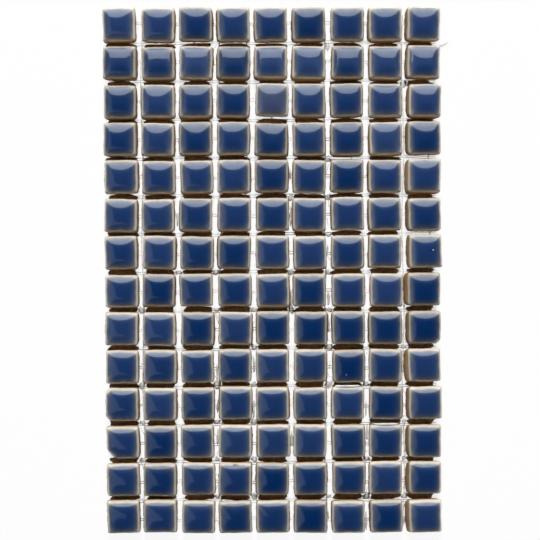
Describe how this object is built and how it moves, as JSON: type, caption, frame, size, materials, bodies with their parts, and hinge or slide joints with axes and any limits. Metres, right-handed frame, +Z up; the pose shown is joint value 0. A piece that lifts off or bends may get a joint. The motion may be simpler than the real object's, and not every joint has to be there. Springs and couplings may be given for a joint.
{
  "type": "mesh-mounted ceramic mosaic tile sheet",
  "caption": "Flat sheet of small square glazed ceramic mosaic tiles with cushion faces, laid in a grid with open joints on a glass-fibre mesh, for walls and pools.",
  "frame": {"origin": "underside of the mesh, below the middle of the sheet", "axes": "+X across the columns of tiles, +Y along the sheet towards its back, +Z up out of the glazed faces"},
  "size_m": [0.1029, 0.1599, 0.0049],
  "materials": {
    "blue_glaze": "glossy cobalt-blue glaze that thins to tan at the rims, on a brown unglazed body",
    "glass_fibre": "white glass-fibre strands stiffened with dried glue"
  },
  "bodies": {
    "root": {"tile_row_01": "blue_glaze", "tile_row_02": "blue_glaze", "tile_row_03": "blue_glaze", "tile_row_04": "blue_glaze", "tile_row_05": "blue_glaze", "tile_row_06": "blue_glaze", "tile_row_07": "blue_glaze", "tile_row_08": "blue_glaze", "tile_row_09": "blue_glaze", "tile_row_10": "blue_glaze", "tile_row_11": "blue_glaze", "tile_row_12": "blue_glaze", "tile_row_13": "blue_glaze", "tile_row_14": "blue_glaze", "mesh_backing": "glass_fibre"}
  },
  "joints": []
}
